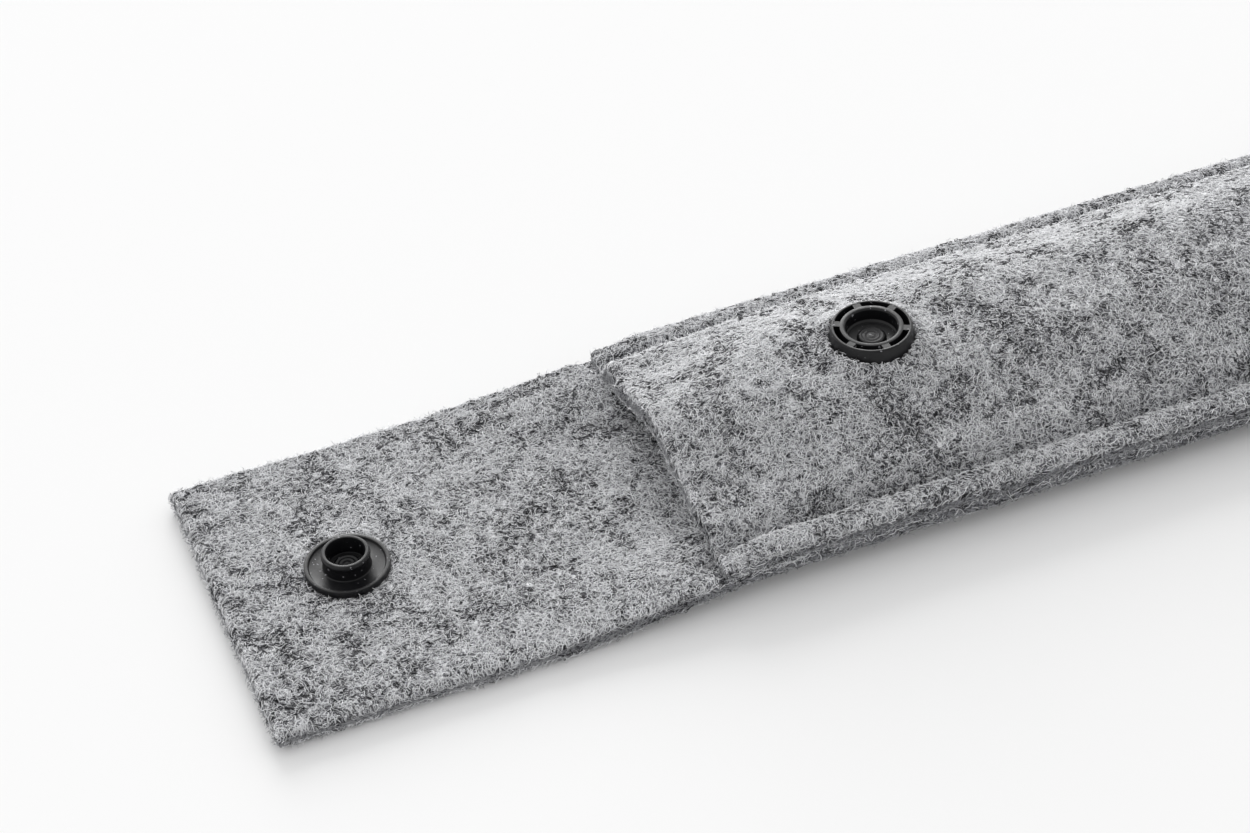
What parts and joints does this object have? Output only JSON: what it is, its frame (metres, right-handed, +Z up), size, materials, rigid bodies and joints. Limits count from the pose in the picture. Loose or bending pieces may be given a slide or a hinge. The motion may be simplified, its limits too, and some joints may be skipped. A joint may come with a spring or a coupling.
{
  "type": "felt pen case",
  "caption": "Flat felt sleeve for pens, sewn on three sides, with a felt flap that folds over the mouth and closes on a plastic press stud.",
  "frame": {"origin": "middle of the open case, on the table under it", "axes": "+X along the case towards the pocket's closed end, +Y across it, +Z up out of the pocket's front"},
  "size_m": [0.2126, 0.0474, 0.0167],
  "materials": {
    "felt": "heathered grey needled felt, fuzzy, dark and light fibres mixed",
    "thread": "thin grey sewing thread, sunk in the felt",
    "snap_plastic": "black satin moulded plastic"
  },
  "bodies": {
    "pocket": {"back_panel": "felt", "front_panel": "felt", "needle_thread": "thread", "bobbin_thread": "thread", "socket_cap": "snap_plastic", "snap_socket": "snap_plastic"},
    "fold_lower": {"fold_strip_lower": "felt"},
    "fold_upper": {"fold_strip_upper": "felt"},
    "cover": {"flap_cover": "felt"},
    "tip": {"flap_tip": "felt", "stud_cap": "snap_plastic", "snap_stud": "snap_plastic"}
  },
  "joints": [
    {"name": "flap_fold", "type": "hinge", "parent": "pocket", "child": "fold_lower", "pos_m": [-0.04875, 0, 0.0028], "axis": [0, 1, 0], "range_deg": [0, 76]},
    {"name": "upper_fold", "type": "hinge", "parent": "fold_lower", "child": "fold_upper", "pos_m": [-0.05383, 0, 0.0028], "axis": [0, 1, 0], "range_deg": [0, 28.01]},
    {"name": "cover_fold", "type": "hinge", "parent": "fold_upper", "child": "cover", "pos_m": [-0.0589, 0, 0.0028], "axis": [0, 1, 0], "range_deg": [0, 63.48]},
    {"name": "tip_fold", "type": "hinge", "parent": "cover", "child": "tip", "pos_m": [-0.08287, 0, 0.0028], "axis": [0, 1, 0], "range_deg": [0, 12.54]}
  ],
  "couplings": [
    {"joint": "upper_fold", "follows": "flap_fold", "ratio": 0.36842},
    {"joint": "cover_fold", "follows": "flap_fold", "ratio": 0.83515},
    {"joint": "tip_fold", "follows": "flap_fold", "ratio": 0.16485}
  ]
}
